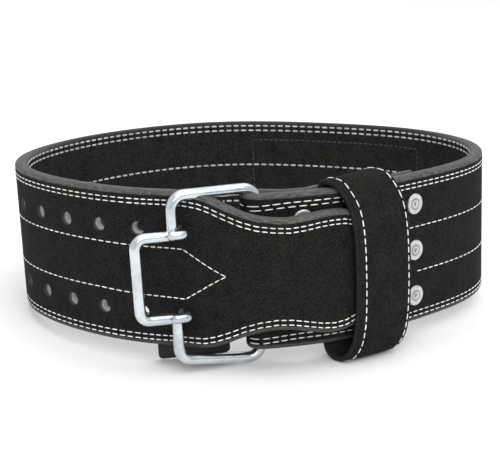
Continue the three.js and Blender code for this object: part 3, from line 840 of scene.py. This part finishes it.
def keeper_piece():
    bm = sheet_grid(np.linspace(0, KEEPER_LOOP, KEEPER_CELLS["along"] + 1),
                    np.linspace(0, KEEPER_WIDTH, KEEPER_CELLS["across"] + 1))

    def on_side(edge):
        return all(min(v.co.z, KEEPER_WIDTH - v.co.z) < SAME_PLACE for v in edge.verts)

    thicken(bm, KEEPER_THICKNESS, KEEPER_EDGE, 0, on_side)
    ends = [f for f in bm.faces
            if all(v.co.x < SAME_PLACE for v in f.verts)
            or all(v.co.x > KEEPER_LOOP - SAME_PLACE for v in f.verts)]
    bmesh.ops.delete(bm, geom=ends, context="FACES")
    suede = suede_material("keeper_suede", KEEPER_WIDTH, rim_depth=0.7,
                           rim_dark=(0.012, 0.012, 0.011), rim_light=(0.032, 0.031, 0.030))
    piece = finish_piece(bm, "keeper_band", on_keeper, [suede])

    # The ends of the band meet in its bent mesh, where they are closed into a loop
    go_over(piece.data, merge=WELD)
    return piece


keeper = keeper_piece()
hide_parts("keeper_loop")

keeper_seams = []
for row in KEEPER_SEAMS:
    keeper_seams += seam([(0, row), (KEEPER_LOOP, row)], KEEPER_THICKNESS / 2 + THREAD_LIE)
keeper_stitches = sew("keeper_stitches", keeper_seams, on_keeper, white_thread)


# Buckle frame: one closed loop of round steel wire, bent with a step above and below its
# middle bar, welded and bright zinc plated. Its back bar lies in the fold of the strap.
FRAME_SLOPE = 22
FRAME_WIRE_RADIUS = 3.6
FRAME_REACH = 56.1
FRAME_STEP = {"upper": 24.6, "lower": 23.8}
FRAME_TOP = 102.3
FRAME_BOTTOM = {"at_fold": -10.2, "at_reach": -3.5}
FRAME_CORNER = 9
STEP_HEIGHTS = {"upper": (77.2, 77.6), "lower": (24.0, 25.3)}
STEP_CORNER = 6.5
STEP_BEND = 4.2

slope = math.radians(FRAME_SLOPE)
frame_left = np.array([-math.cos(slope), -math.sin(slope)])
frame_out = np.array([math.sin(slope), -math.cos(slope)])


def on_frame(reach, out, height):
    """A place in the belt frame, by its distance from the back bar and off the frame's plane."""
    plan = bar + frame_left * reach + frame_out * out
    return Vector(leaning(plan, height))


def rounded_path(corners, closed, bend_steps=12):
    """A path of straight runs with round bends, from corners given as (place, bend radius)."""
    points = []
    for i, (at, radius) in enumerate(corners):
        if not radius or (not closed and i in (0, len(corners) - 1)):
            points.append(at)
            continue
        back = (corners[i - 1][0] - at).normalized()
        forth = (corners[(i + 1) % len(corners)][0] - at).normalized()
        half = back.angle(forth) / 2
        centre = at + (back + forth).normalized() * (radius / math.sin(half))
        arm = at + back * (radius / math.tan(half)) - centre
        axis = forth.cross(back).normalized()
        for k in range(bend_steps + 1):
            turn = (math.pi - 2 * half) * k / bend_steps
            points.append(Quaternion(axis, turn) @ arm + centre)
    return points


def wire_piece(name, path, radii, closed, material):
    """A round wire along a path in the belt frame, with its radius in millimetres at each point."""
    curve = bpy.data.curves.new(name + "_path", "CURVE")
    curve.dimensions = "3D"
    curve.bevel_depth = 0.001
    curve.bevel_resolution = 8
    curve.use_fill_caps = not closed
    spline = curve.splines.new("POLY")
    spline.points.add(len(path) - 1)
    for point, place, radius in zip(spline.points, settled([p[:] for p in path]), radii):
        point.co = (*place, 1)
        point.radius = radius
    spline.use_cyclic_u = closed
    holder = add_object(name + "_path", curve)
    bpy.context.view_layer.update()
    shape = holder.evaluated_get(bpy.context.evaluated_depsgraph_get())
    mesh = bpy.data.meshes.new_from_object(shape)
    mesh.name = name
    bpy.data.objects.remove(holder)
    go_over(mesh, merge=WELD)
    mesh.materials.clear()
    return add_piece(name, mesh, [material])


def zinc_material(name, bright, dull):
    material, shader = new_material(name)
    m = Mixer(material)
    clouds = m.noise(m.places(), scale=90, detail=2.0)
    scuffs = m.noise(m.places(), scale=1100, detail=3.0, rough=0.6)
    m.link(m.mix(m.ramp(clouds, 0.35, 0.7), bright, dull), shader.inputs["Base Color"])
    shader.inputs["Metallic"].default_value = 1.0
    rough = m.math("ADD", 0.14, m.math("MULTIPLY", scuffs, 0.14))
    m.link(rough, shader.inputs["Roughness"])
    m.link(m.bump(scuffs, strength=0.03, distance=0.0002), shader.inputs["Normal"])
    return material


zinc = zinc_material("bright_zinc", (0.635, 0.665, 0.685), (0.48, 0.51, 0.54))


def frame_path():
    upper, lower = STEP_HEIGHTS["upper"], STEP_HEIGHTS["lower"]
    corners = [
        (0, FRAME_BOTTOM["at_fold"], FRAME_CORNER),
        (0, FRAME_TOP, FRAME_CORNER),
        (FRAME_REACH, FRAME_TOP, FRAME_CORNER),
        (FRAME_REACH, upper[0], STEP_BEND),
        (FRAME_REACH + FRAME_STEP["upper"], upper[1], STEP_CORNER),
        (FRAME_REACH + FRAME_STEP["lower"], lower[1], STEP_CORNER),
        (FRAME_REACH, lower[0], STEP_BEND),
        (FRAME_REACH, FRAME_BOTTOM["at_reach"], FRAME_CORNER),
    ]
    return rounded_path([(on_frame(reach, 0, height), bend) for reach, height, bend in corners],
                        closed=True)


frame_line = frame_path()
frame_radii = [FRAME_WIRE_RADIUS] * len(frame_line)
buckle = wire_piece("buckle_wire", frame_line, frame_radii, True, zinc)
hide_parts("buckle_frame")


# Prongs: two pieces of the same wire, each with an open eye round the back bar, passing out
# through a hole of the strap and resting on the frame beside its step.
PRONG_RADIUS = 3.1
PRONG_LIFT = {"upper": 0.6, "lower": 2.3}
PRONG_EYE = {"from": 165, "to": -90, "points": 40}
PRONG_CLEAR = 0.1
PRONG_ELBOW = 5
PRONG_PAST = 5.5
PRONG_BEHIND = 7


def prong_path(height):
    """The prong's middle line: its eye round the back bar, its way through the hole, its tip."""
    eye = WIRE_RADIUS + WIRE_GAP + PRONG_RADIUS
    points = []
    for degrees in np.linspace(PRONG_EYE["from"], PRONG_EYE["to"], PRONG_EYE["points"]):
        turn = math.radians(degrees)
        plan = bar + fold_along * eye * math.cos(turn) - fold_out * eye * math.sin(turn)
        points.append(Vector(leaning(plan, height)))
    clear = FRAME_WIRE_RADIUS + PRONG_RADIUS + PRONG_CLEAR
    middle = on_route(FIRST_HOLE) + outward(FIRST_HOLE) * tongue_lift(FIRST_HOLE)
    through = Vector(leaning(middle, height))
    outer = on_frame(FRAME_REACH - clear, clear, height)
    inner = through + (through - outer).normalized() * PRONG_BEHIND
    tip = on_frame(FRAME_REACH + PRONG_PAST, clear, height)
    corners = [(points[-1], 0), (inner, PRONG_ELBOW), (outer, PRONG_ELBOW), (tip, 0)]
    return points + rounded_path(corners, closed=False)[1:]


def round_ends(path, radius, steps=8, point=0.05):
    """Adds half-round ends to a wire: the path and the radius at each of its points."""
    line = [(place, radius) for place in path]
    for end in range(2):
        line.reverse()
        tip = line[-1][0]
        along = (tip - line[-2][0]).normalized()
        line = [(place, wide) for place, wide in line if (place - tip).length >= radius]
        for k in range(steps + 1):
            turn = math.pi / 2 * k / steps
            line.append((tip + along * radius * (math.sin(turn) - 1),
                         max(radius * math.cos(turn), point)))
    return zip(*line)


for which, hole in zip(("upper", "lower"), HOLE_HEIGHTS):
    prong_line = prong_path(prong_height(hole) + PRONG_LIFT[which])
    places, radii = round_ends(prong_line, PRONG_RADIUS)
    prong = wire_piece("prong_wire_" + which, places, radii, False, zinc)
    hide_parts("prong_" + which)


# Guard: a thin leather flap with a narrow neck, held by the middle rivet of the fold, which
# keeps the buckle off the wearer.
GUARD_THICKNESS = 2.2
GUARD_LENGTH = 47
GUARD_END = 60
GUARD_HEIGHTS = (-7.6, 103)
GUARD_DROOP = 2.4
GUARD_NECK = (29, 71)
GUARD_NECK_END = 52
GUARD_CORNER = 3
GUARD_EDGE = 0.5
GUARD_CELLS = {"neck": 21, "wide": 13, "up": 9}


def guard_run():
    """The guard's middle line seen from above, from its neck behind the flap to its free end."""
    def behind(s):
        return flap_depth(s) + FLAP_THICKNESS / 2 + GAP + GUARD_THICKNESS / 2

    start = on_route(FOLD_AT) - fold_out * (behind(FOLD_AT) + GAP)
    end_at = LOOP - GUARD_END
    end = on_route(end_at) - outward(end_at) * (HALF + GAP + GUARD_THICKNESS / 2)
    neck_s = np.linspace(GUARD_NECK_END, FOLD_AT, 24)[:-1]
    neck = on_route(neck_s) - outward(neck_s) * behind(neck_s)[:, None]
    line = start + (end - start) * np.linspace(0, 1, 12)[:, None]
    plan = np.concatenate([neck, line])
    marks = np.concatenate([[0], np.cumsum(np.linalg.norm(np.diff(plan, axis=0), axis=1))])
    return plan, marks


guard_plan, guard_marks = guard_run()
guard_end = guard_marks[-1]
guard_wide = guard_end - GUARD_LENGTH


def on_guard(flat):
    """Bends flat places on the guard to its run."""
    flat = np.asarray(flat, float)

    def at(u):
        return at_mark(u, guard_marks, guard_plan)

    a = np.clip(flat[:, 0], 0, guard_end)
    out = square_to(at(np.clip(a - 1, 0, None)), at(np.clip(a + 1, None, guard_end)))
    plan = at(a) + out * flat[:, 1:2]
    droop = -GUARD_DROOP * np.clip(a - guard_wide, 0, None) / GUARD_LENGTH
    return settled(leaning(plan, flat[:, 2] + rise(FOLD_AT) + droop))


def guard_material():
    material, shader = new_material("thin_black_leather")
    m = Mixer(material)
    where = m.places()
    grain = m.noise(where, scale=1100, detail=4.0, rough=0.6)
    cloud = m.noise(where, scale=60, detail=3.0)
    colour = m.mix(m.ramp(cloud, 0.3, 0.7), (0.010, 0.0095, 0.009), (0.022, 0.021, 0.020))
    m.link(colour, shader.inputs["Base Color"])
    m.link(m.math("ADD", 0.55, m.math("MULTIPLY", grain, 0.3)), shader.inputs["Roughness"])
    m.link(m.bump(grain, strength=0.25, distance=0.0003), shader.inputs["Normal"])
    return material


def guard_piece():
    neck_low, neck_high = GUARD_NECK
    along = list(np.linspace(0, guard_wide, GUARD_CELLS["neck"] + 1))
    along += list(np.linspace(guard_wide, guard_end, GUARD_CELLS["wide"] + 1)[1:])
    stops = (GUARD_HEIGHTS[0], neck_low, neck_high, GUARD_HEIGHTS[1])
    up = sorted({height for low, high in zip(stops, stops[1:])
                 for height in np.linspace(low, high, GUARD_CELLS["up"] + 1)})
    bm = sheet_grid(along, up)
    spare = [f for f in bm.faces
             if f.calc_center_median().x < guard_wide
             and not neck_low < f.calc_center_median().z < neck_high]
    bmesh.ops.delete(bm, geom=spare, context="FACES")
    corners = [v for v in bm.verts if len(v.link_faces) == 1]
    bmesh.ops.bevel(bm, geom=corners, offset=GUARD_CORNER, offset_type="OFFSET",
                    affect="VERTICES", segments=4, profile=0.5, material=-1)
    thicken(bm, GUARD_THICKNESS, GUARD_EDGE, 0, lambda edge: True)
    return finish_piece(bm, "guard_leather", on_guard, [guard_material()])


guard = guard_piece()
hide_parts("guard_flap")


# Rivets: tubular steel, set in two columns of three through the strap and the flap behind it.
# The head is a shallow dish with a rolled rim and a raised ring round a small hollow.
RIVET_MIDDLE = 50.1
RIVET_PITCH = 31.8
FOLD_TOP_HIGHER = 1.8
RIVET_HEAD = [
    (0, 0.55), (0.9, 0.5), (1.3, 0.75), (1.75, 1.25), (2.2, 1.45), (2.7, 1.3), (3.1, 0.95),
    (3.6, 0.85), (4.6, 1.0), (5.7, 1.25), (6.4, 1.3), (6.85, 1.0), (7, 0.5), (7, 0),
]
RIVET_SHANK = 2.5
RIVET_BURR = [(5.6, 0), (5.6, 0.6), (5.1, 1.05), (3.4, 1.1), (2.6, 0.75), (1.2, 0.7), (0, 0.7)]
RIVET_LIE = 0.05
RIVET_SIDES = 40


def rivet_material():
    """Dull nickel plate, darker in the ring's groove and in the hollow."""
    material, shader = new_material("dull_nickel")
    m = Mixer(material)
    clouds = m.noise(m.places(), scale=300, detail=3.0)
    scuffs = m.noise(m.places(), scale=2200, detail=3.0, rough=0.7)
    ring = m.tree.nodes.new("ShaderNodeAttribute")
    ring.attribute_name = "ring"
    radius = ring.outputs["Fac"]
    groove = m.math("MULTIPLY", m.ramp(radius, 2.6, 3.1), m.ramp(radius, 3.7, 4.4, 1, 0))
    soil = m.math("MAXIMUM", groove, m.ramp(radius, 0.9, 1.7, 1, 0))
    metal = m.mix(m.ramp(clouds, 0.35, 0.65), (0.52, 0.52, 0.52), (0.64, 0.64, 0.64))
    m.link(m.mix(m.math("MULTIPLY", soil, 0.62), metal, (0.07, 0.07, 0.07)),
           shader.inputs["Base Color"])
    shader.inputs["Metallic"].default_value = 0.7
    m.link(m.math("ADD", 0.34, m.math("MULTIPLY", scuffs, 0.16)), shader.inputs["Roughness"])
    m.link(m.bump(scuffs, strength=0.05, distance=0.0002), shader.inputs["Normal"])
    return material


def rivet_piece(name, s, height, behind, material):
    """Spins a rivet from its profile and sets it in the strap, with its head outside."""
    seat = HALF + RIVET_LIE
    back = flap_depth(s) + FLAP_THICKNESS / 2 + behind
    profile = [(r, seat + h) for r, h in RIVET_HEAD] + [(RIVET_SHANK, seat)]
    profile += [(RIVET_SHANK, -back)] + [(r, -back - h) for r, h in RIVET_BURR]
    bm = bmesh.new()
    verts = [bm.verts.new((r, 0, h)) for r, h in profile]
    edges = [bm.edges.new(pair) for pair in zip(verts, verts[1:])]
    bmesh.ops.spin(bm, geom=verts + edges, cent=(0, 0, 0), axis=(0, 0, 1),
                   angle=2 * math.pi, steps=RIVET_SIDES, use_merge=True)
    bmesh.ops.remove_doubles(bm, verts=bm.verts[:], dist=1e-4)
    bmesh.ops.recalc_face_normals(bm, faces=bm.faces[:])
    ring = [math.hypot(v.co.x, v.co.y) for v in bm.verts]
    turn = Vector((0, 0, 1)).rotation_difference(Vector((*outward(s), 0)))
    place = Vector(leaning(on_route(s), height + rise(s)))
    for v in bm.verts:
        v.co = settled((turn @ v.co + place)[:])
    for f in bm.faces:
        f.smooth = True
    for e in bm.edges:
        e.smooth = len(e.link_faces) != 2 or e.calc_face_angle() < 0.9
    mesh = new_mesh(name, bm)
    mesh.attributes.new("ring", "FLOAT", "POINT").data.foreach_set("value", ring)
    return add_piece(name, mesh, [material])


nickel = rivet_material()
for column, column_at in RIVET_COLUMNS.items():
    for row, step in (("top", 1), ("middle", 0), ("bottom", -1)):
        behind = GUARD_THICKNESS + GAP if (column, row) == ("fold", "middle") else 0
        height = RIVET_MIDDLE + step * RIVET_PITCH
        height += FOLD_TOP_HIGHER if (column, row) == ("fold", "top") else 0
        rivet = rivet_piece(f"rivet_cap_{column}_{row}", column_at, height, behind, nickel)
        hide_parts(f"rivet_{column}_{row}")


# Studio: a pale floor, a pale surround and soft lights from above and both sides. Two dark
# cards outside the picture give the plated wire its darker streaks.
FLOOR_SIZE = 12.0
FLOOR_DROP = 0.0005
SURROUND = 0.85
AIM = Vector((0, 0, 0.05))
LIGHTS = (
    {"name": "key", "place": (0.4, -1.3, 1.4), "size": 1.6, "power": 16.5},
    {"name": "fill", "place": (-1.3, -0.8, 1.0), "size": 1.6, "power": 1.5},
    {"name": "top", "place": (0.1, 0.3, 1.8), "size": 2.4, "power": 16},
)
CARDS = (
    {"name": "side_card", "place": (1.1, -1.2, 0.5), "wide": 0.12, "high": 1.2},
    {"name": "high_card", "place": (-0.2, -1.3, 1.25), "wide": 1.6, "high": 0.10},
)


def aimed(place, axis):
    """The place and turn of something at a place, with its axis pointing to the belt."""
    turn = (AIM - Vector(place)).to_track_quat(axis, "Y")
    return Matrix.Translation(place) @ turn.to_matrix().to_4x4()


def board(name, wide, high, stands, tint, roughness):
    """A flat board of the studio, which isn't part of the belt."""
    bm = bmesh.new()
    bmesh.ops.create_grid(bm, x_segments=1, y_segments=1, size=0.5)
    bmesh.ops.scale(bm, verts=bm.verts[:], vec=(wide, high, 1))
    bmesh.ops.transform(bm, matrix=stands, verts=bm.verts[:])
    mesh = new_mesh(name, bm)
    material, shader = new_material(name)
    shader.inputs["Base Color"].default_value = (tint, tint, tint, 1)
    shader.inputs["Roughness"].default_value = roughness
    mesh.materials.append(material)
    piece = add_object(name, mesh)
    return piece


floor_place = Matrix.Translation((0, 0, -FLOOR_DROP))
board("floor", FLOOR_SIZE, FLOOR_SIZE, floor_place, tint=0.96, roughness=0.9)
for card in CARDS:
    stands = aimed(card["place"], "Z")
    dark = board(card["name"], card["wide"], card["high"], stands, tint=0.02, roughness=0.5)
    dark.visible_camera = False

for lamp in LIGHTS:
    light = bpy.data.lights.new(lamp["name"], "AREA")
    light.size = lamp["size"]
    light.energy = lamp["power"]
    add_object(lamp["name"], light).matrix_world = aimed(lamp["place"], "-Z")

world = bpy.data.worlds.new("surround")
world.use_nodes = True
surround = world.node_tree.nodes["Background"]
surround.inputs["Color"].default_value = (1, 1, 1, 1)
surround.inputs["Strength"].default_value = SURROUND
bpy.context.scene.world = world
bpy.context.scene.view_settings.view_transform = "Standard"


# Camera: where the photograph was taken from, a little above the belt and square to its front.
# Its place is in the belt frame in millimetres, its focal length in pixels of the photograph.
CAMERA_PLACE = (0, -879.14, 264.605)
CAMERA_PITCH = 0.25406
CAMERA_ROLL = -0.016435
FOCAL_PIXELS = 1194.1
IMAGE_WIDTH = 500
SENSOR = 36


def camera_turn():
    """The camera's axes in the belt frame: pitched down, then rolled."""
    c, s = math.cos(CAMERA_PITCH), math.sin(CAMERA_PITCH)
    right, up, back = Vector((1, 0, 0)), Vector((0, s, c)), Vector((0, -c, s))
    c, s = math.cos(CAMERA_ROLL), math.sin(CAMERA_ROLL)
    return Matrix((right * c + up * s, up * c - right * s, back)).transposed()


lens = bpy.data.cameras.new("camera")
lens.sensor_width = SENSOR
lens.lens = FOCAL_PIXELS * SENSOR / IMAGE_WIDTH
lens.clip_start = 0.01
lens.clip_end = 100
camera = add_object("camera", lens)
camera_axes = Matrix(rest_turn.tolist()) @ camera_turn()
camera.matrix_world = Matrix.Translation(settled(CAMERA_PLACE)) @ camera_axes.to_4x4()
bpy.context.scene.camera = camera
